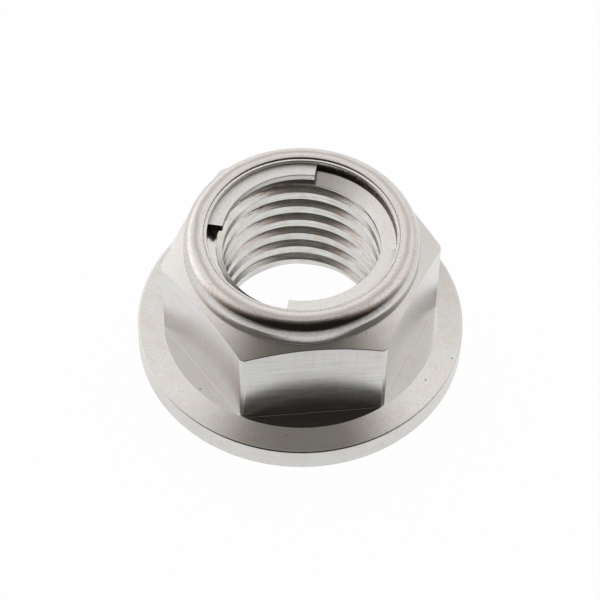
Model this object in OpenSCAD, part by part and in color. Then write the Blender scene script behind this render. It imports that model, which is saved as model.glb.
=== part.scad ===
// Flanged hex lock nut for a chain sprocket, with a flat spring ring held under its rolled collar.
// The origin is the centre of the bearing face on the thread axis, +Z runs from the flange to the collar.
// Millimetres. A flat of the hexagon faces -Y. The thread is a helical groove with straight facets,
// cut into a true cylinder over the thread crests.

/* [Thread] */
// Nominal thread diameter
thread_d = 10; // [8:0.25:10.25]
// Depth of the thread, from the nominal radius in to the crests
thread_depth = 0.5; // [0.3:0.05:0.75]
// Rise of the thread in one turn
thread_pitch = 1.25; // [1:0.05:1.5]
// Width of the groove at its root
root_w = 0.07; // [0.05:0.01:0.15]
// Height of the groove's middle where it passes +X, above the bearing face
thread_start = 0.1375; // [0:0.0125:1]
// Rim of the lower countersink outside the nominal radius
sink_over = 0.4; // [0.1:0.05:1]
// Rise of the shallow upper countersink, in degrees
upper_sink_angle = 21; // [15:1:45]

/* [Friction ring] */
// Thickness of the ring
ring_t = 0.48; // [0.3:0.02:0.7]
// Clearance of the ring around the thread, between its tabs
ring_clear = 0.38; // [0.2:0.02:0.5]
// Radial width of the ring between its tabs
ring_w = 0.57; // [0.4:0.01:0.8]
// Bite of the tabs inside the nominal thread radius
tab_bite = 0.46; // [0.3:0.01:0.6]
// Angle covered by one tab, in degrees
tab_span = 90; // [40:1:130]
// Direction of the first tab's middle, in degrees from +X
tab_turn = 120; // [0:1:180]
// Radial clearance between the ring and its pocket
ring_side_gap = 0.05; // [0.02:0.01:0.1]
// Clearance between the ring and the lip above it
ring_lip_gap = 0.02; // [0.01:0.01:0.06]

/* [Collar] */
// Wall of the collar around the ring pocket
collar_wall = 0.75; // [0.5:0.05:0.95]
// Height of the collar above the chamfer of the hexagon
collar_h = 1.6; // [1.3:0.05:2.5]
// Radius of the rolled rim
rim_round = 0.9; // [0.6:0.05:1.1]
// Drop of the pressed land below the top of the rim
land_drop = 0.1; // [0.04:0.02:0.14]
// Thickness of the rolled lip above the ring
lip_t = 0.3; // [0.2:0.02:0.5]
// Rounding of the lip's upper inner edge
lip_round = 0.16; // [0.04:0.02:0.18]
// Radial reach of the lip over the ring
lip_reach = 0.68; // [0.4:0.02:0.7]

/* [Hexagon] */
// Width across the flats
hex_af = 14; // [13.6:0.1:19]
// Trim of the sharp hex corners by the turned blank
corner_trim = 0.08; // [0.02:0.02:0.6]
// Height of the hex corners above the foot of the hexagon
hex_len = 5.39; // [3:0.05:9]
// Angle of the chamfer on top of the hexagon, in degrees
chamfer_angle = 30; // [15:1:45]
// Depth of the milled floors below the foot of the hexagon
floor_cut = 0.01; // [0.01:0.01:0.15]

/* [Flange] */
// Reach of the flange outside the hex corners
flange_reach = 1.55; // [0.8:0.05:4]
// Height of the flange rim
flange_h = 1.5; // [0.8:0.05:3]
// Fall of the flange top towards its rim, in degrees
flange_slope = 12; // [5:1:20]
// Break of the lower flange edge
flange_break = 0.06; // [0.02:0.02:0.3]

/* [Hidden] */
$fn = 96;
eps = 0.01;
bore_r = thread_d / 2 - thread_depth;
sink_r = thread_d / 2 + sink_over;
ring_in_r = thread_d / 2 + ring_clear;
ring_r = ring_in_r + ring_w;
tab_r = thread_d / 2 - tab_bite;
pocket_r = ring_r + ring_side_gap;
lip_r = ring_r - lip_reach;
collar_r = pocket_r + collar_wall;
blank_r = hex_af / 2 / cos(30) - corner_trim;
flange_r = blank_r + flange_reach;
foot_z = flange_h + flange_reach * tan(flange_slope);
floor_z = foot_z - floor_cut;
hex_top_z = foot_z + hex_len;
collar_foot_z = hex_top_z + (blank_r - collar_r) * tan(chamfer_angle);
nut_h = collar_foot_z + collar_h;
land_z = nut_h - land_drop;
pocket_top_z = land_z - lip_t;
pocket_floor_z = pocket_top_z - ring_lip_gap - ring_t;
lower_sink_z = sink_r - bore_r;
groove_sides = 30;
groove_w = root_w + 2 * thread_depth * tan(30);
groove_open = 0.2;
groove_section = [
    [bore_r - groove_open, -groove_w / 2 - groove_open * tan(30)],
    [thread_d / 2, -root_w / 2],
    [thread_d / 2, root_w / 2],
    [bore_r - groove_open, groove_w / 2 + groove_open * tan(30)]
];
groove_first = -floor((thread_start + groove_w) / thread_pitch * groove_sides);
groove_last = ceil((pocket_floor_z + groove_open - thread_start) / thread_pitch * groove_sides);
upper_sink_z = pocket_floor_z - (ring_in_r - bore_r) * tan(upper_sink_angle);

// Points of the thread's groove: its section, drawn along the helix
function groove_angle(i) = i * 360 / groove_sides;
function groove_z(i) = thread_start + thread_pitch * i / groove_sides;
function groove_ring(i) = [
    for (p = groove_section)
        [p[0] * cos(groove_angle(i)), p[0] * sin(groove_angle(i)), p[1] + groove_z(i)]
];

// Helical groove between the crests of the thread
module thread_groove() {
    n = len(groove_section);
    rings = groove_last - groove_first;
    points = [for (i = [groove_first : groove_last]) each groove_ring(i)];
    walls = [
        for (i = [0 : rings - 1])
            for (k = [0 : n - 1])
                each [
                    [i * n + k, i * n + (k + 1) % n, (i + 1) * n + k],
                    [i * n + (k + 1) % n, (i + 1) * n + (k + 1) % n, (i + 1) * n + k]
                ]
    ];
    ends = [
        [for (k = [n - 1 : -1 : 0]) k],
        [for (k = [0 : n - 1]) rings * n + k]
    ];
    polyhedron(points, concat(walls, ends));
}

// Outside of the turned blank, one half of its section
module blank_section() {
    polygon([
        [0, 0],
        [flange_r - flange_break, 0],
        [flange_r, flange_break],
        [flange_r, flange_h],
        [blank_r, foot_z],
        [blank_r, hex_top_z],
        [collar_r, collar_foot_z],
        [collar_r, nut_h - rim_round],
        [collar_r - rim_round, nut_h - rim_round],
        [collar_r - rim_round, land_z],
        [0, land_z]
    ]);
    translate([collar_r - rim_round, nut_h - rim_round]) circle(r = rim_round);
}

// Inside of the nut, one half of its section: countersinks, bore, ring pocket and lip opening
module bore_section() {
    polygon([
        [0, -eps],
        [sink_r + eps, -eps],
        [bore_r, lower_sink_z],
        [bore_r, upper_sink_z],
        [ring_in_r, pocket_floor_z],
        [pocket_r, pocket_floor_z],
        [pocket_r, pocket_top_z],
        [lip_r, pocket_top_z],
        [lip_r, land_z - lip_round],
        [0, land_z - lip_round]
    ]);
    difference() {
        translate([0, land_z - lip_round]) square([lip_r + lip_round, nut_h - land_z + lip_round + eps]);
        translate([lip_r + lip_round, land_z - lip_round]) circle(r = lip_round);
    }
}

// Stock that the milling cutter takes off one side of the hexagon
module flat_cut(turn) {
    rotate([0, 0, turn])
        translate([-flange_r, -flange_r - hex_af / 2, floor_z])
            cube([2 * flange_r, flange_r, nut_h]);
}

// Nut with flange, hexagon, collar and rolled lip
module nut_body() {
    color([0.72, 0.72, 0.7])
        difference() {
            rotate_extrude() difference() {
                blank_section();
                bore_section();
            }
            for (turn = [0 : 60 : 300]) flat_cut(turn);
            thread_groove();
        }
}

// One spring tab that reaches inwards from the ring
module tab(turn) {
    rotate([0, 0, turn - tab_span / 2])
        rotate_extrude(angle = tab_span)
            translate([tab_r, pocket_floor_z])
                square([ring_in_r + ring_w / 2 - tab_r, ring_t]);
}

// Flat spring ring with two tabs, seated on the floor of the pocket
module friction_ring() {
    color([0.78, 0.77, 0.74])
        union() {
            rotate_extrude()
                translate([ring_in_r, pocket_floor_z])
                    square([ring_w, ring_t]);
            tab(tab_turn);
            tab(tab_turn + 180);
        }
}

nut_body();
friction_ring();
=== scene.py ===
import math
import bpy
import numpy as np
from mathutils import Matrix, Vector


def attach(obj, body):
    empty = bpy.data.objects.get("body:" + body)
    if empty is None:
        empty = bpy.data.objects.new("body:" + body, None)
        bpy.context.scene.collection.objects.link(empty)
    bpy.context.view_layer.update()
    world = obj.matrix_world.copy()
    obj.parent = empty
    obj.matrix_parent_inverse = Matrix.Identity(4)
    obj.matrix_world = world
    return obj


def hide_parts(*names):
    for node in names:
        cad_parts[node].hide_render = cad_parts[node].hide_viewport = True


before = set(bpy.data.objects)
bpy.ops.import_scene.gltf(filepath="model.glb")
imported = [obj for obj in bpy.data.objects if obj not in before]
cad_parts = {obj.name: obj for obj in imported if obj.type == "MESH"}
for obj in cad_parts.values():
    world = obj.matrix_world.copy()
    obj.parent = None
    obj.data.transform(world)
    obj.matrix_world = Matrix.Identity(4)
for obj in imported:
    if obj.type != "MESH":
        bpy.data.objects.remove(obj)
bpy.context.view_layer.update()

# Sizes in millimetres, the same as the solids
MM = 0.001
CREST_R = 4.5
PITCH = 1.25
SINK_R = 5.4
RING_IN_R = 5.38
RING_R = 5.95
RING_T = 0.48
TAB_R = 4.54
TAB_SPAN = 90.0
TAB_TURN = 120.0
POCKET_R = 6.0
RING_LIP_GAP = 0.02
COLLAR_R = 6.75
COLLAR_H = 1.6
LAND_DROP = 0.1
LIP_T = 0.3
HALF_AF = 7.0
FLANGE_REACH = 1.55
CORNER_TRIM = 0.08
BLANK_R = HALF_AF / math.cos(math.radians(30)) - CORNER_TRIM
FLANGE_H = 1.5
FLANGE_SLOPE = math.tan(math.radians(12))
CHAMFER_ANGLE = 30.0
CHAMFER_SLOPE = math.tan(math.radians(CHAMFER_ANGLE))
FOOT_Z = FLANGE_H + FLANGE_REACH * FLANGE_SLOPE
FLOOR_CUT = 0.01
FLOOR_Z = FOOT_Z - FLOOR_CUT
FLOOR_R = BLANK_R + FLOOR_CUT / FLANGE_SLOPE
HEX_LEN = 5.39
HEX_TOP_Z = FOOT_Z + HEX_LEN
NUT_H = HEX_TOP_Z + (BLANK_R - COLLAR_R) * CHAMFER_SLOPE + COLLAR_H
POCKET_TOP_Z = NUT_H - LAND_DROP - LIP_T
POCKET_FLOOR_Z = POCKET_TOP_Z - RING_LIP_GAP - RING_T

# Sizes of the visual model alone: finer forms, and small departures that fit the photo better
FLANGE_INSET = 0.006
FLANGE_R = BLANK_R + FLANGE_REACH - FLANGE_INSET
EDGE_BREAK = 0.06
BREAK_ROUND = 0.02
EDGE_ROUND = 0.14
FACET_SLOPE = math.tan(math.radians(23))
FACETS = 27
STEP_WIDTH = 0.004
FOOT_ROUND = 0.035
CORNER_BLEND = 0.03
CHAMFER_BLEND = 0.05
CORNER_LAND = 1.0
RIM_ROUND = 0.9
RIM_Z = NUT_H - RIM_ROUND
COLLAR_LEAN = -1.5
COLLAR_FOOT_R = 6.7
COLLAR_FILLET = 0.05
COLLAR_FOOT_Z = HEX_TOP_Z + (BLANK_R - COLLAR_FOOT_R) * CHAMFER_SLOPE
FILLET_TURN = math.radians(CHAMFER_ANGLE - COLLAR_LEAN / 2)
FILLET_REACH = COLLAR_FILLET * math.tan(FILLET_TURN) * math.cos(math.radians(CHAMFER_ANGLE))
# Each turn of the rim: its first and last angle in degrees, its radius and its steps
RIM_TURNS = (
    (COLLAR_LEAN, 62, RIM_ROUND, 22),
    (62, 80, 0.4, 6),
    (80, 100, 1.5, 10),
    (100, 165, 0.06, 6),
)
CREASE_Z = 9.33
CREASE_W = 0.04
CREASE_ROUND = 0.005
LAND_FALL = 0.01
LAND_ROUND = 0.008
LIP_EDGE_R = 5.355
LIP_EDGE_Z = 9.408
LIP_LOW_Z = 9.2
LIP_ROUND = 0.06
LIP_LOW_ROUND = 0.01
LIP_UNDER_ROUND = 0.02
POCKET_ROUND = 0.03
POCKET_EDGE_ROUND = 0.01
SINK_STEP_R = 0.03
SINK_STEP_Z = 0.05
THREAD_PHASE = 0.39
CREST_HALF = 0.28
EDGE_GAP = 0.0016
ROOT_R = 4.97
ROOT_BLEND = 0.12
SINK_BLEND = 0.03
CONE_SLOPE = math.tan(math.radians(20.5))
SINK_TOP_R = RING_IN_R - SINK_STEP_R
BORE_TOP_Z = POCKET_FLOOR_Z - SINK_STEP_Z
SINK_FOOT_Z = 8.23

# Places in the nut's and the ring's lists of materials
TURNED, MILLED, FLOOR, RIM, THREAD, CONE, SINK = range(7)
# The ring's second material is painted shade: a nearly black edge colour
SHEET_EDGE, PAINTED_SHADE, SHEET_TOP = range(3)


# Mesh building

WELD = 1e-5


class Shell:
    """A closed mesh made of grids of points, each grid with its own normals and material."""

    def __init__(self):
        self.points = []
        self.normals = []
        self.faces = []
        self.slots = []
        self.count = 0

    def add(self, points, normals, slot, closed=True):
        """Adds a grid of points; a closed one joins its last column to its first."""
        rows, cols = points.shape[:2]
        index = np.arange(rows * cols).reshape(rows, cols)
        if closed:
            index = np.concatenate([index, index[:, :1]], axis=1)
        quads = np.stack([index[:-1, :-1], index[:-1, 1:], index[1:, 1:], index[1:, :-1]], axis=-1)
        quads = quads.reshape(-1, 4)
        points = points.reshape(-1, 3)
        normals = normals.reshape(-1, 3)
        corner = points[quads]
        cross = np.cross(corner[:, 2] - corner[:, 0], corner[:, 3] - corner[:, 1])
        if np.sum(cross * normals[quads].sum(axis=1)) < 0:
            quads = quads[:, ::-1]
        self.points.append(points)
        self.normals.append(normals / np.linalg.norm(normals, axis=1, keepdims=True))
        self.faces.append(quads + self.count)
        self.slots.append(np.broadcast_to(np.asarray(slot), (len(quads),)))
        self.count += rows * cols

    def welded(self):
        """Points, and for each face its welded corners, their normals and its material."""
        points = np.concatenate(self.points)
        normals = np.concatenate(self.normals)
        keys = np.round(points / WELD)
        _, first, place = np.unique(keys, axis=0, return_index=True, return_inverse=True)
        place = place.reshape(-1)
        quads = np.concatenate(self.faces).tolist()
        faces, corner_normals, slots = [], [], []
        for quad, slot in zip(quads, np.concatenate(self.slots).tolist()):
            face, rows = [], []
            for corner in quad:
                spot = int(place[corner])
                if spot not in face:
                    face.append(spot)
                    rows.append(corner)
            if len(face) > 2:
                faces.append(face)
                corner_normals.extend(rows)
                slots.append(slot)
        return points[first], faces, normals[corner_normals], slots

    def build(self, name, materials):
        """Makes the mesh, in metres, as an object of the scene."""
        points, faces, normals, slots = self.welded()
        mesh = bpy.data.meshes.new(name)
        mesh.from_pydata((points * MM).tolist(), [], faces)
        for material in materials:
            mesh.materials.append(material)
        mesh.polygons.foreach_set("material_index", np.array(slots, dtype=np.int32))
        mesh.polygons.foreach_set("use_smooth", np.ones(len(faces), dtype=bool))
        mesh.update()
        mesh.normals_split_custom_set(normals.tolist())
        piece = bpy.data.objects.new(name, mesh)
        bpy.context.scene.collection.objects.link(piece)
        return piece


def around(r, theta, z):
    """Points at radius r, angle theta and height z."""
    return np.stack([r * np.cos(theta), r * np.sin(theta), z + 0 * r], axis=-1)


def revolve(profile, theta):
    """Points and normals of a profile of (r, z, normal r, normal z) turned about Z."""
    r, z, nr, nz = (np.asarray(profile)[:, i:i + 1] for i in range(4))
    ones = np.ones_like(theta)
    return around(r * ones, theta, z), around(nr * ones, theta, nz)


def rounded_path(corners, steps=5):
    """Profile along corners (r, z, radius); its normals lie to the right of the way it runs."""
    corners = [np.array(c, dtype=float) for c in corners]
    way = [(b - a)[:2] / np.linalg.norm((b - a)[:2]) for a, b in zip(corners, corners[1:])]
    out = [(*corners[0][:2], way[0][1], -way[0][0])]
    for corner, d_in, d_out in zip(corners[1:-1], way, way[1:]):
        p, radius = corner[:2], corner[2]
        turn = math.atan2(d_in[0] * d_out[1] - d_in[1] * d_out[0], float(d_in @ d_out))
        start = p - d_in * radius * abs(math.tan(turn / 2))
        side = radius * (1.0 if turn > 0 else -1.0)
        normal = np.array([d_in[1], -d_in[0]])
        for k in range(steps + 1):
            c, s = math.cos(turn * k / steps), math.sin(turn * k / steps)
            n = np.array([normal[0] * c - normal[1] * s, normal[0] * s + normal[1] * c])
            q = start + (n - normal) * side
            out.append((q[0], q[1], n[0], n[1]))
    out.append((*corners[-1][:2], way[-1][1], -way[-1][0]))
    return out


def soft_min(a, b, k):
    """The lesser of a and b, blended where they differ by less than k."""
    h = np.maximum(k - np.abs(a - b), 0) / k
    return np.minimum(a, b) - h * h * k / 4


def soft_max(a, b, k):
    return -soft_min(-a, -b, k)


def field_normals(radius, theta, z, outward):
    """Normals of the surface r = radius(theta, z)."""
    step = 1e-4
    r = radius(theta, z)
    dr_dz = (radius(theta, z + step) - radius(theta, z - step)) / (2 * step)
    dr_dt = (radius(theta + step, z) - radius(theta - step, z)) / (2 * step)
    c, s = np.cos(theta), np.sin(theta)
    normals = np.stack([c + dr_dt / r * s, s - dr_dt / r * c, -dr_dz], axis=-1)
    return normals if outward else -normals


def grid_normals(points, towards):
    """Normals of a grid of points, on the side of the given directions."""
    normals = np.cross(np.gradient(points, axis=0), np.gradient(points, axis=1))
    side = np.sign(np.sum(normals * towards, axis=-1, keepdims=True))
    return normals * np.where(side == 0, 1, side) + 1e-12 * towards


# Nut

def hex_angles():
    """Turning angles with extra steps at the trimmed corners."""
    edge = math.degrees(math.acos(HALF_AF / BLANK_R))
    near = edge + np.array([-0.9, -0.4, -0.25, -0.12, 0.0, 0.12, 0.25, 0.5])
    middle = np.linspace(-edge + 2.0, edge - 2.0, 29)
    local = np.concatenate([[-30.0], -near[::-1], middle, near])
    return np.radians(np.concatenate([local + 60 * k - 90 for k in range(6)]))


THETA = hex_angles()


def flat_radius(theta):
    """Radius of the hexagon with sharp corners."""
    local = (np.degrees(theta) + 120) % 60 - 30
    return HALF_AF / np.cos(np.radians(local))


def hex_radius(theta, z):
    """Radius of the trimmed and chamfered hexagon, with slightly broken edges."""
    cone = BLANK_R - (z - HEX_TOP_Z) / CHAMFER_SLOPE
    r = soft_min(flat_radius(theta), BLANK_R + 0 * z, CORNER_BLEND)
    return soft_min(r, cone, CHAMFER_BLEND)


def add_hexagon(shell):
    """Flats and chamfer of the hexagon, with close rows along the edge between them."""
    trimmed = np.minimum(flat_radius(THETA), BLANK_R)
    edge_z = HEX_TOP_Z + (BLANK_R - trimmed) * CHAMFER_SLOPE
    low = FLOOR_Z + FOOT_ROUND
    offsets = (-0.1, -0.05, -0.03, -0.02, -0.01, 0.0, 0.01, 0.02, 0.03, 0.05)
    rows = [np.full_like(THETA, low), 0.5 * (low + edge_z)]
    rows += [edge_z + o for o in offsets]
    top = COLLAR_FOOT_Z - FILLET_REACH * CHAMFER_SLOPE
    above = edge_z + offsets[-1]
    rows += [above + t * (top - above) for t in (0.5, 1.0)]
    z = np.array(rows)
    theta = np.broadcast_to(THETA, z.shape)
    normals = field_normals(hex_radius, theta, z, True)
    edge_row = 2 + offsets.index(0.0)
    on_cone = np.arange(len(rows) - 1) >= edge_row
    on_land = np.abs((np.degrees(THETA) + 90) % 60 - 30) < CORNER_LAND
    slot = np.where(on_cone[:, None], CONE, np.where(on_land[None, :], TURNED, MILLED))
    shell.add(around(hex_radius(theta, z), theta, z), normals, slot.reshape(-1))


def add_floors(shell):
    """Fillet at the foot of the hexagon, and the milled floors out to the flange's cone."""
    wall = hex_radius(THETA, np.full_like(THETA, FLOOR_Z + 1))
    out = field_normals(hex_radius, THETA, np.full_like(THETA, FLOOR_Z + 1), True)
    out /= np.linalg.norm(out, axis=-1, keepdims=True)
    turn = np.radians(np.linspace(0, 90, 6))[:, None]
    r = wall + FOOT_ROUND * (1 - np.cos(turn))
    points = around(r, THETA, FLOOR_Z + FOOT_ROUND * (1 - np.sin(turn)))
    normals = np.cos(turn)[..., None] * out + np.sin(turn)[..., None] * np.array([0, 0, 1.0])
    shell.add(points, normals, FLOOR)
    share = np.linspace(0, 1, 4)[:, None]
    points = around(wall + FOOT_ROUND + share * (FLOOR_R - wall - FOOT_ROUND), THETA, FLOOR_Z)
    normals = np.zeros_like(points)
    normals[..., 2] = 1
    shell.add(points, normals, FLOOR)


def add_flange(shell):
    """Underside and edge of the flange, and its top with the fine steps of the turning tool."""
    path = rounded_path([
        (SINK_R, 0.0, 0.0),
        (FLANGE_R - EDGE_BREAK, 0.0, BREAK_ROUND),
        (FLANGE_R, EDGE_BREAK, BREAK_ROUND),
        (FLANGE_R, FLANGE_H, EDGE_ROUND),
        (FLOOR_R, FLOOR_Z, 0.0),
    ])[:-1]
    r, z = path[-1][:2]
    pitch = (r - FLOOR_R) / FACETS
    rise = (FLOOR_Z - z) / FACETS
    up = 1 / math.hypot(1, FACET_SLOPE)
    shell.add(*revolve(path, THETA), TURNED)
    for k in range(FACETS):
        low_r, low_z = r - k * pitch, z + k * rise
        high_r = low_r - pitch + STEP_WIDTH
        high_z = low_z + (low_r - high_r) * FACET_SLOPE
        facet = [(low_r, low_z, FACET_SLOPE * up, up), (high_r, high_z, FACET_SLOPE * up, up)]
        step = [(high_r, high_z, -1.0, 0.2), (low_r - pitch, low_z + rise, -1.0, 0.2)]
        shell.add(*revolve(facet, THETA), TURNED)
        shell.add(*revolve(step, THETA), TURNED)


def rim_path():
    """Profile of the rolled rim: a round shoulder, a tighter turn, a domed top and a tight inner edge."""
    lean = math.radians(COLLAR_LEAN)
    z = RIM_Z + RIM_ROUND * math.sin(lean)
    r = COLLAR_FOOT_R - math.tan(lean) * (z - COLLAR_FOOT_Z)
    path = []
    for first, last, radius, steps in RIM_TURNS:
        for k in range(steps):
            a = math.radians(first + (last - first) * k / steps)
            b = math.radians(first + (last - first) * (k + 1) / steps)
            path.append((r, z, math.cos(a), math.sin(a)))
            r += radius * (math.cos(b) - math.cos(a))
            z += radius * (math.sin(b) - math.sin(a))
    path.append((r, z, math.cos(b), math.sin(b)))
    return path


def add_collar(shell):
    """Collar wall, rolled rim, crease, lip and ring pocket."""
    rim = rim_path()
    foot = rounded_path([
        (COLLAR_FOOT_R + FILLET_REACH, COLLAR_FOOT_Z - FILLET_REACH * CHAMFER_SLOPE, 0.0),
        (COLLAR_FOOT_R, COLLAR_FOOT_Z, COLLAR_FILLET),
        (*rim[0][:2], 0.0),
    ], 10)
    shell.add(*revolve(foot[1:-1] + rim, THETA), RIM)
    crease_r, crease_z = rim[-1][:2]
    lip = rounded_path([
        (crease_r, crease_z, 0.0),
        (crease_r - 0.2 * CREASE_W, CREASE_Z, CREASE_ROUND),
        (crease_r - 0.8 * CREASE_W, CREASE_Z, CREASE_ROUND),
        (crease_r - CREASE_W, LIP_EDGE_Z - LAND_FALL, LAND_ROUND),
        (LIP_EDGE_R, LIP_EDGE_Z, LIP_ROUND),
        (LIP_EDGE_R, LIP_LOW_Z, LIP_LOW_ROUND),
        (0.5 * (LIP_EDGE_R + POCKET_R), POCKET_TOP_Z, LIP_UNDER_ROUND),
        (POCKET_R, POCKET_TOP_Z, POCKET_ROUND),
        (POCKET_R, POCKET_FLOOR_Z, POCKET_ROUND),
        (RING_IN_R, POCKET_FLOOR_Z, POCKET_EDGE_ROUND),
        (SINK_TOP_R, BORE_TOP_Z, 0.0),
    ], 4)
    shell.add(*revolve(lip, THETA), RIM)


def thread_radius(phase):
    """Radius of the thread against its phase along the pitch, which is 0 at the middle of a crest."""
    away = np.abs((phase + 0.5) % 1.0 - 0.5) * PITCH
    flank = CREST_R + (away - CREST_HALF) / math.tan(math.radians(30))
    r = np.maximum(CREST_R, flank)
    return soft_min(r, np.full_like(flank, ROOT_R), ROOT_BLEND)


def bore_radius(theta, z):
    """Radius of the threaded bore, opened by the countersinks at both ends."""
    r = thread_radius(z / PITCH - theta / (2 * math.pi) + THREAD_PHASE)
    r = soft_max(r, SINK_R - z, SINK_BLEND)
    return soft_max(r, SINK_TOP_R - (BORE_TOP_Z - z) / CONE_SLOPE, SINK_BLEND)


def add_thread(shell):
    """Bore wall: rows along the helix, then level rows over the upper countersink."""
    edge = CREST_HALF / PITCH
    crest = np.linspace(-edge + EDGE_GAP, edge - EDGE_GAP, 5)
    flank_up = [edge + EDGE_GAP, 0.32]
    flank_down = [0.68, 1 - edge - EDGE_GAP]
    groove = np.concatenate([flank_up, np.linspace(0.4, 0.6, 11), flank_down])
    phases = np.concatenate([crest, groove]) - THREAD_PHASE
    last = math.ceil(SINK_FOOT_Z / PITCH)
    turns = (np.arange(-1, last + 1)[:, None] + phases).reshape(-1, 1)
    theta = np.append(THETA, THETA[0] + 2 * math.pi)
    z = PITCH * (turns + theta / (2 * math.pi))
    add_wall(shell, theta, np.clip(z, 0.0, SINK_FOOT_Z), False)
    z = np.linspace(SINK_FOOT_Z, BORE_TOP_Z, 26)[:, None]
    add_wall(shell, THETA, z + 0 * THETA, True)


def add_wall(shell, theta, z, closed):
    """A grid on the bore wall, with the countersink's own material."""
    theta = np.broadcast_to(theta, z.shape)
    normals = field_normals(bore_radius, theta, z, False)
    sunk = z > BORE_TOP_Z - (SINK_TOP_R - bore_radius(theta, z)) * CONE_SLOPE - 0.01
    slot = np.where(sunk[:-1] if closed else sunk[:-1, :-1], SINK, THREAD)
    shell.add(around(bore_radius(theta, z), theta, z), normals, slot.reshape(-1), closed)


# Ring

GAP_BURR = 0.02
GAP_IN_R = RING_IN_R - GAP_BURR
RING_ROUND = 0.03
TORN_H = 0.14
TORN_WAVER = 0.07
TORN_FADE = 0.1
TORN_BACK = 0.07
# Share of a tab's length, at its far end, whose underside is painted dark as painted shade
SHADED_UNDERSIDE_SHARE = 0.14
RING_STEPS = 181
RING_LOW = POCKET_FLOOR_Z
RING_HIGH = POCKET_FLOOR_Z + RING_T
EDGE_Z = np.append([RING_HIGH, RING_HIGH - 0.01], np.linspace(RING_HIGH - RING_ROUND, RING_LOW, 9))


def ragged(theta, seed, waves):
    """A ragged line between about -1 and 1 around the axis."""
    draw = np.random.RandomState(seed)
    total = np.zeros_like(theta)
    for wave in waves:
        total += np.sin(theta * wave + draw.uniform(0, 2 * math.pi)) * draw.uniform(0.5, 1.0)
    return total / math.sqrt(len(waves))


def gap_edge(theta):
    """Sheared inner edge of the ring between its tabs: rows of radius and height, from the top down."""
    z = EDGE_Z[:, None]
    r = GAP_IN_R + 0 * z + 0 * theta
    r[0] += RING_ROUND
    r[1] += 0.3 * RING_ROUND
    share = np.linspace(0, 1, len(theta))
    window = np.clip(np.minimum(share, 1 - share) * 12, 0, 1)
    wander = ragged(theta, 3, (37, 61, 97, 143, 211)) * window
    wander2 = ragged(theta, 8, (53, 89, 131, 187, 263)) * window
    depth = np.sin(np.linspace(0, math.pi, len(z)))[:, None]
    r += 0.012 * depth * wander + 0.008 * depth * (2 * depth - 1) * wander2
    return r, z


def tab_edge(theta):
    """Sheared inner edge of a tab, torn back along its lower part."""
    z = EDGE_Z[:, None]
    r = TAB_R + 0 * z + 0 * theta
    r[0] += RING_ROUND
    r[1] += 0.3 * RING_ROUND
    torn = RING_LOW + TORN_H + TORN_WAVER * ragged(theta, 5, (41, 73, 109, 167, 239))
    share = np.clip((torn - z) / TORN_FADE, 0, 1)
    r += TORN_BACK * share * share * (3 - 2 * share)
    return r, z


def add_ring_part(shell, theta, edge):
    """A stretch of the ring, along a gap or a tab, with the given inner edge."""
    r, z = edge(theta)
    seam = GAP_IN_R + RING_ROUND
    up = np.broadcast_to(np.array([0, 0, 1.0]), (3, len(theta), 3))
    rows = np.stack([np.full_like(theta, RING_R - RING_ROUND), np.maximum(r[0], seam), r[0]])
    shell.add(around(rows, theta, RING_HIGH), up, SHEET_TOP, closed=False)
    rows = np.stack([np.full_like(theta, RING_R), np.maximum(r[-1], GAP_IN_R), r[-1]])
    # The far end of each stretch's underside gets the nearly black painted-shade material
    share = np.linspace(0, 1, len(theta) - 1)
    underside_slots = np.where(share > 1 - SHADED_UNDERSIDE_SHARE, PAINTED_SHADE, SHEET_EDGE)
    shell.add(around(rows, theta, RING_LOW), -up, np.tile(underside_slots, 2), closed=False)
    points = around(r, theta, z)
    inward = around(-np.ones_like(r), theta, 0.2 * np.ones_like(r))
    # The edge between the tabs gets the nearly black painted-shade material, for the shade in the recess
    # under the lip
    slot = PAINTED_SHADE if edge is gap_edge else SHEET_EDGE
    shell.add(points, grid_normals(points, inward), slot, closed=False)
    wall = rounded_path([
        (RING_R, RING_LOW, 0.0),
        (RING_R, RING_HIGH, RING_ROUND),
        (RING_R - RING_ROUND, RING_HIGH, 0.0),
    ])
    shell.add(*revolve(wall[:-1], theta), SHEET_EDGE, closed=False)


def add_tab_end(shell, angle, side):
    """Cut face at one end of a tab."""
    theta = np.array([angle])
    tab_r, tab_z = tab_edge(theta)
    gap_r, _ = gap_edge(theta)
    r = np.concatenate([gap_r, tab_r], axis=1)
    points = around(r, np.array([angle, angle]), tab_z)
    along = np.array([-math.sin(angle), math.cos(angle), 0.0]) * side
    # The cut face gets the nearly black painted-shade material
    shell.add(points, np.broadcast_to(along, points.shape), PAINTED_SHADE, closed=False)


# Materials

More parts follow.
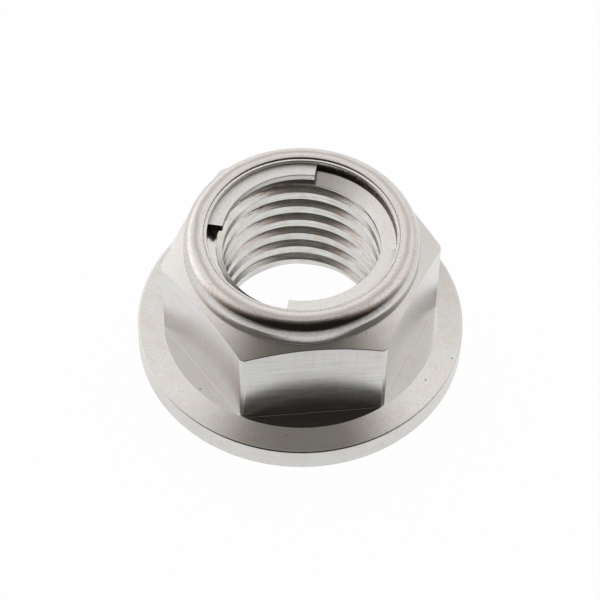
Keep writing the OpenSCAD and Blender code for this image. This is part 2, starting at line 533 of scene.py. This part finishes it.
class Tree:
    """Short ways to add nodes to a material or a world."""

    def __init__(self, owner):
        owner.use_nodes = True
        self.nodes = owner.node_tree.nodes
        self.links = owner.node_tree.links

    def put(self, socket, value):
        if isinstance(value, bpy.types.NodeSocket):
            self.links.new(value, socket)
        elif isinstance(value, tuple) and len(socket.default_value) == 4:
            socket.default_value = (*value, 1)
        else:
            socket.default_value = value

    def add(self, kind, **inputs):
        node = self.nodes.new(kind)
        for name, value in inputs.items():
            self.put(node.inputs[name.replace("_", " ")], value)
        return node

    def math(self, operation, *values):
        node = self.nodes.new("ShaderNodeMath")
        node.operation = operation
        for socket, value in zip(node.inputs, values):
            self.put(socket, value)
        return node.outputs[0]

    def span(self, value, low, high, to_low=0.0, to_high=1.0, smooth=False):
        node = self.nodes.new("ShaderNodeMapRange")
        node.interpolation_type = "SMOOTHSTEP" if smooth else "LINEAR"
        for name, number in zip(("Value", "From Min", "From Max", "To Min", "To Max"),
                                (value, low, high, to_low, to_high)):
            self.put(node.inputs[name], number)
        return node.outputs["Result"]

    def mix(self, share, first, second, blend="MIX"):
        node = self.nodes.new("ShaderNodeMix")
        node.data_type = "RGBA"
        node.blend_type = blend
        for name, value in (("Factor", share), ("A", first), ("B", second)):
            self.put([s for s in node.inputs if s.name == name and s.enabled][0], value)
        return [s for s in node.outputs if s.enabled][0]

    def ramp(self, value, stops):
        node = self.nodes.new("ShaderNodeValToRGB")
        elements = node.color_ramp.elements
        while len(elements) < len(stops):
            elements.new(0.5)
        for element, (position, colour) in zip(elements, stops):
            element.position = position
            element.color = (*colour, 1)
        self.put(node.inputs["Fac"], value)
        return node.outputs["Color"]

    def noise(self, vector, scale, detail=3.0, roughness=0.55, w=None):
        node = self.nodes.new("ShaderNodeTexNoise")
        if w is not None:
            node.noise_dimensions = "4D"
            self.put(node.inputs["W"], w)
        self.put(node.inputs["Vector"], vector)
        self.put(node.inputs["Scale"], scale)
        self.put(node.inputs["Detail"], detail)
        self.put(node.inputs["Roughness"], roughness)
        return node.outputs["Fac"]

    def vector(self, x, y, z):
        return self.add("ShaderNodeCombineXYZ", X=x, Y=y, Z=z).outputs[0]

    def place(self):
        """Position in millimetres: its vector, and x, y, z and the radius."""
        spot = self.nodes.new("ShaderNodeVectorMath")
        spot.operation = "SCALE"
        self.put(spot.inputs[0], self.add("ShaderNodeTexCoord").outputs["Object"])
        spot.inputs["Scale"].default_value = 1 / MM
        split = self.add("ShaderNodeSeparateXYZ", Vector=spot.outputs[0])
        x, y, z = (split.outputs[i] for i in range(3))
        r = self.math("SQRT", self.math("ADD", self.math("MULTIPLY", x, x), self.math("MULTIPLY", y, y)))
        return spot.outputs[0], x, y, z, r

    def turned_lines(self, stretch, fine, detail=2.0):
        """Noise drawn out around the axis, as a turning tool leaves it."""
        _, x, y, z, r = self.place()
        c = self.math("MULTIPLY", self.math("DIVIDE", x, r), stretch)
        s = self.math("MULTIPLY", self.math("DIVIDE", y, r), stretch)
        around_axis = self.vector(c, s, self.math("MULTIPLY", z, fine))
        return self.noise(around_axis, 1.0, detail, 0.6, self.math("MULTIPLY", r, fine))

    def specks(self, scale, size):
        """1 in a few small pits, 0 elsewhere."""
        node = self.nodes.new("ShaderNodeTexVoronoi")
        self.put(node.inputs["Vector"], self.place()[0])
        self.put(node.inputs["Scale"], scale)
        return self.span(node.outputs["Distance"], size, size * 0.6, smooth=True)


STEEL = (0.67, 0.665, 0.64)
STEEL_WARM = (0.66, 0.625, 0.585)
STEEL_COOL = (0.665, 0.675, 0.66)
STEEL_DULL = (0.44, 0.41, 0.385)
MILLED_WARM = (0.71, 0.69, 0.68)
MILLED_COOL = (0.7, 0.705, 0.69)
MILLED_MARK = (0.42, 0.41, 0.39)
RIM_WARM = (0.665, 0.63, 0.6)
RIM_COOL = (0.65, 0.65, 0.63)
# Painted shade on the top of the rim
RIM_SHADE = (0.4, 0.365, 0.335)
RIM_MOTTLE = (0.42, 0.37, 0.33)
RIM_RING = (0.45, 0.42, 0.385)
RIM_LINE = (0.78, 0.77, 0.75)
THREAD_WARM = (0.62, 0.585, 0.53)
THREAD_SCORE = (0.32, 0.3, 0.27)
SHEET_GREY = (0.74, 0.735, 0.71)
SHEET_LIGHT = (0.93, 0.925, 0.905)
# Painted shade: the ring's nearly black shaded edges, and their lighter streaks towards the top
EDGE_SHADE_DARK = (0.07, 0.056, 0.048)
EDGE_STREAK_LIGHT = (0.5, 0.42, 0.35)
PIT = (0.12, 0.1, 0.09)


def metal(name):
    """A new metal: its material, its nodes and its shader."""
    material = bpy.data.materials.new(name)
    tree = Tree(material)
    shader = tree.nodes["Principled BSDF"]
    shader.inputs["Metallic"].default_value = 1.0
    return material, tree, shader


def draw_out(tree, shader, amount):
    """Draws the gloss out across marks that run around the axis."""
    shader.inputs["Anisotropic"].default_value = amount
    shader.inputs["Anisotropic Rotation"].default_value = 0.25
    tangent = tree.nodes.new("ShaderNodeTangent")
    tangent.direction_type = "RADIAL"
    tangent.axis = "Z"
    tree.put(shader.inputs["Tangent"], tangent.outputs[0])


def finish_metal(tree, shader, colour, roughness, height, depth):
    """Sets a metal's colour, roughness and bump; the depth of the bump is in millimetres."""
    tree.put(shader.inputs["Base Color"], colour)
    tree.put(shader.inputs["Roughness"], roughness)
    bump = tree.add("ShaderNodeBump", Height=height, Strength=1.0)
    bump.inputs["Distance"].default_value = depth * MM
    tree.put(shader.inputs["Normal"], bump.outputs["Normal"])


def turned_steel(name, rough, depth, stretch=3.0, fine=16.0):
    """Turned faces: fine lines around the axis, a grain and a few pits."""
    material, tree, shader = metal(name)
    spot = tree.place()[0]
    lines = tree.turned_lines(stretch, fine)
    cloud = tree.noise(spot, 1.1, 4.0)
    grain = tree.noise(spot, 11.0, 3.0, 0.65)
    colour = tree.mix(tree.span(cloud, 0.35, 0.65), STEEL_WARM, STEEL_COOL)
    colour = tree.mix(tree.span(lines, 0.3, 0.7, 0.0, 0.35), colour, STEEL)
    colour = tree.mix(tree.span(grain, 0.48, 0.68, 0.0, 0.4), colour, STEEL_DULL)
    colour = tree.mix(tree.specks(0.8, 0.05), colour, PIT)
    roughness = tree.math("ADD", tree.span(lines, 0.3, 0.7, rough - 0.05, rough + 0.05),
                          tree.span(grain, 0.3, 0.7, -0.02, 0.02))
    height = tree.math("ADD", tree.math("MULTIPLY", lines, 0.6), tree.math("MULTIPLY", grain, 0.9))
    draw_out(tree, shader, 0.6)
    finish_metal(tree, shader, colour, roughness, height, depth)
    return material


def milled_steel(name, rough, depth):
    """Flat milled faces: fine level striations, crossed by fainter upright ones."""
    material, tree, shader = metal(name)
    spot, x, y, z, _ = tree.place()
    level = tree.noise(tree.vector(tree.math("MULTIPLY", x, 0.5), tree.math("MULTIPLY", y, 0.5),
                                   tree.math("MULTIPLY", z, 13.0)), 1.0, 3.0, 0.6)
    upright = tree.noise(tree.vector(tree.math("MULTIPLY", x, 14.0), tree.math("MULTIPLY", y, 14.0),
                                     tree.math("MULTIPLY", z, 0.35)), 1.0, 2.0, 0.5)
    cloud = tree.noise(spot, 0.8, 3.0)
    colour = tree.mix(tree.span(cloud, 0.35, 0.65), MILLED_WARM, MILLED_COOL)
    colour = tree.mix(tree.span(level, 0.55, 0.75, 0.0, 0.25), colour, STEEL_WARM)
    colour = tree.mix(tree.specks(0.7, 0.045), colour, PIT)
    roughness = tree.span(level, 0.3, 0.7, rough - 0.03, rough + 0.04)
    marks = tree.math("ADD", tree.span(level, 0.4, 0.75), tree.span(upright, 0.4, 0.75))
    colour = tree.mix(tree.math("MULTIPLY", marks, 0.15), colour, MILLED_MARK)
    height = tree.math("ADD", level, tree.math("MULTIPLY", upright, 0.9))
    draw_out(tree, shader, 0.8)
    finish_metal(tree, shader, colour, roughness, height, depth)
    return material


def rolled_steel(name):
    """The pressed rim, with rings from the forming tool, mottled where it has rubbed, and a band of
    painted shade across its top.
    """
    material, tree, shader = metal(name)
    spot, _, _, _, r = tree.place()
    rings = tree.turned_lines(1.2, 5.0, 2.0)
    lines = tree.turned_lines(4.0, 14.0, 3.0)
    mottle = tree.noise(spot, 8.0, 5.0, 0.7)
    grain = tree.noise(spot, 16.0, 3.0, 0.65)
    cloud = tree.noise(spot, 0.7, 3.0)
    # Painted shade: a band around the rim's top is darkened in colour
    wander = tree.math("ADD", r, tree.span(cloud, 0.3, 0.7, -0.05, 0.05))
    shade_band = tree.math("MULTIPLY", tree.span(wander, 5.76, 5.98, smooth=True),
                     tree.span(wander, 6.2, 6.0, smooth=True))
    colour = tree.mix(tree.span(cloud, 0.38, 0.62), RIM_WARM, RIM_COOL)
    colour = tree.mix(tree.math("MULTIPLY", shade_band, 0.75), colour, RIM_SHADE)
    colour = tree.mix(tree.span(mottle, 0.48, 0.64, 0.0, 0.5), colour, RIM_MOTTLE)
    colour = tree.mix(tree.span(rings, 0.55, 0.7, 0.0, 0.15), colour, RIM_RING)
    colour = tree.mix(tree.span(lines, 0.3, 0.5, 0.3, 0.0), colour, RIM_LINE)
    roughness = tree.span(mottle, 0.3, 0.7, 0.06, 0.2)
    height = tree.math("ADD", tree.math("MULTIPLY", rings, 0.3), tree.math("MULTIPLY", mottle, 0.7))
    height = tree.math("ADD", height, tree.math("MULTIPLY", lines, 0.6))
    height = tree.math("ADD", height, tree.math("MULTIPLY", grain, 0.4))
    finish_metal(tree, shader, colour, roughness, height, 0.008)
    return material


def thread_steel(name):
    """Cut thread: lines and darker scores around the axis."""
    material, tree, shader = metal(name)
    spot = tree.place()[0]
    lines = tree.turned_lines(2.5, 14.0, 3.0)
    grain = tree.noise(spot, 8.0, 3.0, 0.6)
    cloud = tree.noise(spot, 1.3, 3.0)
    scores = tree.turned_lines(1.4, 22.0, 3.0)
    colour = tree.mix(tree.span(cloud, 0.4, 0.65), STEEL_COOL, THREAD_WARM)
    colour = tree.mix(tree.span(scores, 0.5, 0.62, 0.0, 0.5), colour, THREAD_SCORE)
    roughness = tree.span(lines, 0.3, 0.7, 0.1, 0.22)
    height = tree.math("ADD", lines, tree.math("MULTIPLY", grain, 0.35))
    height = tree.math("ADD", height, tree.math("MULTIPLY", scores, 1.2))
    finish_metal(tree, shader, colour, roughness, height, 0.006)
    return material


def sheet_steel(name, light, rough, gloss):
    """Spring sheet: fine straight rolling lines; gloss is the share of metal in its shine."""
    material, tree, shader = metal(name)
    spot, x, y, z, _ = tree.place()
    lines = tree.noise(tree.vector(tree.math("MULTIPLY", x, 0.8), tree.math("MULTIPLY", y, 14.0),
                                   tree.math("MULTIPLY", z, 6.0)), 1.0, 3.0, 0.6)
    grain = tree.noise(spot, 7.0, 4.0, 0.6)
    shader.inputs["Metallic"].default_value = gloss
    dark = tuple(0.9 * c for c in light)
    colour = tree.mix(tree.span(grain, 0.35, 0.7), light, dark)
    roughness = tree.span(grain, 0.3, 0.7, rough - 0.05, rough + 0.05)
    height = tree.math("ADD", lines, tree.math("MULTIPLY", grain, 0.6))
    finish_metal(tree, shader, colour, roughness, height, 0.002)
    return material


def painted_shade_steel(name):
    """Sheared edge of the ring: painted shade, nearly black, with upright streaks painted lighter towards
    the top.
    """
    material, tree, shader = metal(name)
    spot, x, y, z, _ = tree.place()
    streaks = tree.noise(tree.vector(tree.math("MULTIPLY", x, 9.0), tree.math("MULTIPLY", y, 9.0),
                                     tree.math("MULTIPLY", z, 2.0)), 1.0, 3.0, 0.6)
    grain = tree.noise(spot, 11.0, 3.0, 0.6)
    high = tree.span(z, RING_LOW + 0.2, RING_HIGH)
    lighter_streaks = tree.math("MULTIPLY", tree.span(streaks, 0.52, 0.66), high)
    colour = tree.mix(lighter_streaks, EDGE_SHADE_DARK, EDGE_STREAK_LIGHT)
    roughness = tree.span(grain, 0.3, 0.7, 0.42, 0.28)
    finish_metal(tree, shader, colour, roughness, tree.math("ADD", grain, streaks), 0.02)
    return material


# Pieces

def make_nut():
    shell = Shell()
    add_flange(shell)
    add_floors(shell)
    add_hexagon(shell)
    add_collar(shell)
    add_thread(shell)
    nut = shell.build("nut", [
        turned_steel("nut_flange", 0.22, 0.0018, 1.2, 20.0),
        milled_steel("nut_flats", 0.17, 0.0018),
        turned_steel("nut_floors", 0.1, 0.001, 1.5, 8.0),
        rolled_steel("nut_rim"),
        thread_steel("nut_thread"),
        turned_steel("nut_chamfer", 0.32, 0.002, 1.5),
        turned_steel("nut_countersink", 0.17, 0.002),
    ])
    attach(nut, "root")
    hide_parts("nut_body")


def make_ring():
    shell = Shell()
    half = TAB_SPAN / 2
    for middle in (TAB_TURN, TAB_TURN + 180):
        gap = np.linspace(middle - 180 + half, middle - half, RING_STEPS)
        tab = np.linspace(middle - half, middle + half, RING_STEPS)
        add_ring_part(shell, np.radians(gap), gap_edge)
        add_ring_part(shell, np.radians(tab), tab_edge)
        add_tab_end(shell, math.radians(middle - half), -1)
        add_tab_end(shell, math.radians(middle + half), 1)
    ring = shell.build("ring", [
        sheet_steel("ring_edge", SHEET_GREY, 0.38, 1.0),
        # Nearly black painted shade for the shaded edges of the ring
        painted_shade_steel("ring_edge_painted_shade"),
        sheet_steel("ring_sheet", SHEET_LIGHT, 0.58, 0.6),
    ])
    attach(ring, "root")
    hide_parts("friction_ring")


# Stage

WHITE = (1.0, 1.0, 1.0)
FLOOR_HALF = 1.5
FLOOR_FALL = -200.0
# Angles of the tent, in degrees, and the strength of its side panels
OPENING_TURN = 3
SPLAY_HEIGHT = 42
SPLAY = 0.5
PANEL_REACH = 0.9
PANEL_LEFT = 1.45
PANEL_RIGHT = 0.78
# Camera: place in millimetres, directions, and focal length as a share of the picture's width
CAMERA_EYE = (-10.1, -86.831, 118.036)
CAMERA_RIGHT = (0.99495, -0.09968, 0.0118)
CAMERA_BACK = (-0.06972, -0.60175, 0.79563)
SENSOR = 36
FOCAL_SHARE = 2477.6 / 600


def make_floor():
    """White paper: white to the camera; in reflections it carries painted shade, darker further ahead of
    the nut.
    """
    mesh = bpy.data.meshes.new("floor")
    corners = [(x * FLOOR_HALF, y * FLOOR_HALF, 0) for x, y in ((-1, -1), (1, -1), (1, 1), (-1, 1))]
    mesh.from_pydata(corners, [], [(0, 1, 2, 3)])
    floor = bpy.data.objects.new("floor", mesh)
    bpy.context.scene.collection.objects.link(floor)
    material = bpy.data.materials.new("floor_white")
    tree = Tree(material)
    tree.nodes.remove(tree.nodes["Principled BSDF"])
    # Painted shade seen only in reflections: the floor's glow falls off ahead of the nut
    ahead = tree.span(tree.place()[2], 0.0, FLOOR_FALL)
    reflected_floor_shade = tree.ramp(ahead, [
        (0.045, WHITE),
        (0.085, (0.66, 0.66, 0.66)),
        (0.14, (0.6, 0.6, 0.6)),
        (0.3, (0.42, 0.42, 0.42)),
        (0.7, (0.08, 0.07, 0.06)),
    ])
    path = tree.add("ShaderNodeLightPath")
    glossy = path.outputs["Is Glossy Ray"]
    light = tree.add("ShaderNodeEmission", Color=tree.mix(glossy, WHITE, reflected_floor_shade))
    matt = tree.add("ShaderNodeBsdfDiffuse", Color=(0.95, 0.95, 0.95))
    direct = tree.math("MAXIMUM", tree.math("MAXIMUM", path.outputs["Is Camera Ray"], glossy),
                       path.outputs["Is Transmission Ray"])
    mix = tree.nodes.new("ShaderNodeMixShader")
    tree.put(mix.inputs["Fac"], tree.math("MULTIPLY", direct, 0.98))
    tree.put(mix.inputs[1], matt.outputs[0])
    tree.put(mix.inputs[2], light.outputs[0])
    tree.put(tree.nodes["Material Output"].inputs["Surface"], mix.outputs[0])
    mesh.materials.append(material)


def by_angle(stops):
    """Stops of a ramp, from angles in degrees between 0 and 180."""
    return [(angle / 180, colour) for angle, colour in stops]


def fade(tree, angle, first, last, smooth=False):
    """0 at the first angle, 1 at the last, which are in degrees."""
    return tree.span(angle, math.radians(first), math.radians(last), smooth=smooth)


def tent_sides(tree, turn, height, across):
    """Sides of the tent: dark towards the camera, and low down brighter on the left than on the right."""
    splay = tree.math("MULTIPLY", tree.math("SUBTRACT", height, math.radians(SPLAY_HEIGHT)), SPLAY)
    sides = tree.ramp(tree.span(tree.math("ADD", turn, splay), 0.0, math.pi), by_angle([
        (40, (0.016, 0.013, 0.011)),
        (52, (0.085, 0.065, 0.055)),
        (62, (0.27, 0.215, 0.19)),
        (72, (0.72, 0.64, 0.6)),
        (84, (1.12, 1.08, 1.07)),
        (110, (1.13, 1.1, 1.09)),
        (140, (1.11, 1.09, 1.085)),
    ]))
    panels = tree.span(across, -PANEL_REACH, PANEL_REACH, PANEL_LEFT, PANEL_RIGHT)
    lit = tree.mix(1.0, sides, panels, "MULTIPLY")
    return tree.mix(fade(tree, height, 32, 14), sides, lit)


def table_light(tree, turn):
    """Light off the table around the nut, which is dark only straight towards the camera."""
    return tree.ramp(tree.span(turn, 0.0, math.pi), by_angle([
        (20, (0.02, 0.016, 0.014)),
        (38, (0.4, 0.375, 0.36)),
        (55, (0.9, 0.87, 0.855)),
        (90, (1.1, 1.07, 1.06)),
    ]))


def make_world():
    """A white tent, open and dark towards the camera, with side panels, a grey roof and a lit table."""
    world = bpy.data.worlds.new("studio")
    bpy.context.scene.world = world
    tree = Tree(world)
    split = tree.add("ShaderNodeSeparateXYZ", Vector=tree.add("ShaderNodeTexCoord").outputs["Generated"])
    across = split.outputs["X"]
    front = tree.math("MULTIPLY", split.outputs["Y"], -1.0)
    turn = tree.math("ARCTAN2", across, front)
    turn = tree.math("ABSOLUTE", tree.math("ADD", turn, math.radians(OPENING_TURN)))
    height = tree.math("ARCSINE", split.outputs["Z"])
    sides = tent_sides(tree, turn, height, across)
    lowest = tree.math("MULTIPLY", fade(tree, height, 5, 1), fade(tree, turn, 92, 78))
    sides = tree.mix(lowest, sides, table_light(tree, turn))
    roof = tree.ramp(tree.span(front, -0.1, 0.17), [
        (0.0, (0.62, 0.595, 0.57)),
        (1.0, (0.23, 0.214, 0.198)),
    ])
    tent = tree.mix(fade(tree, height, 54, 76, smooth=True), sides, roof)
    seen = tree.add("ShaderNodeLightPath").outputs["Is Camera Ray"]
    background = tree.nodes["Background"]
    tree.put(background.inputs["Color"], tree.mix(seen, tent, WHITE))
    background.inputs["Strength"].default_value = 1.0


def make_camera():
    """The camera fitted to the photo."""
    data = bpy.data.cameras.new("camera")
    camera = bpy.data.objects.new("camera", data)
    bpy.context.scene.collection.objects.link(camera)
    right = Vector(CAMERA_RIGHT).normalized()
    back = Vector(CAMERA_BACK).normalized()
    rotation = Matrix((right, back.cross(right), back)).transposed().to_4x4()
    camera.matrix_world = Matrix.Translation(Vector(CAMERA_EYE) * MM) @ rotation
    data.sensor_width = SENSOR
    data.lens = SENSOR * FOCAL_SHARE
    data.clip_start = 0.01
    data.clip_end = 10
    bpy.context.scene.camera = camera


make_nut()
make_ring()
make_floor()
make_world()
make_camera()
bpy.context.scene.view_settings.view_transform = "Standard"
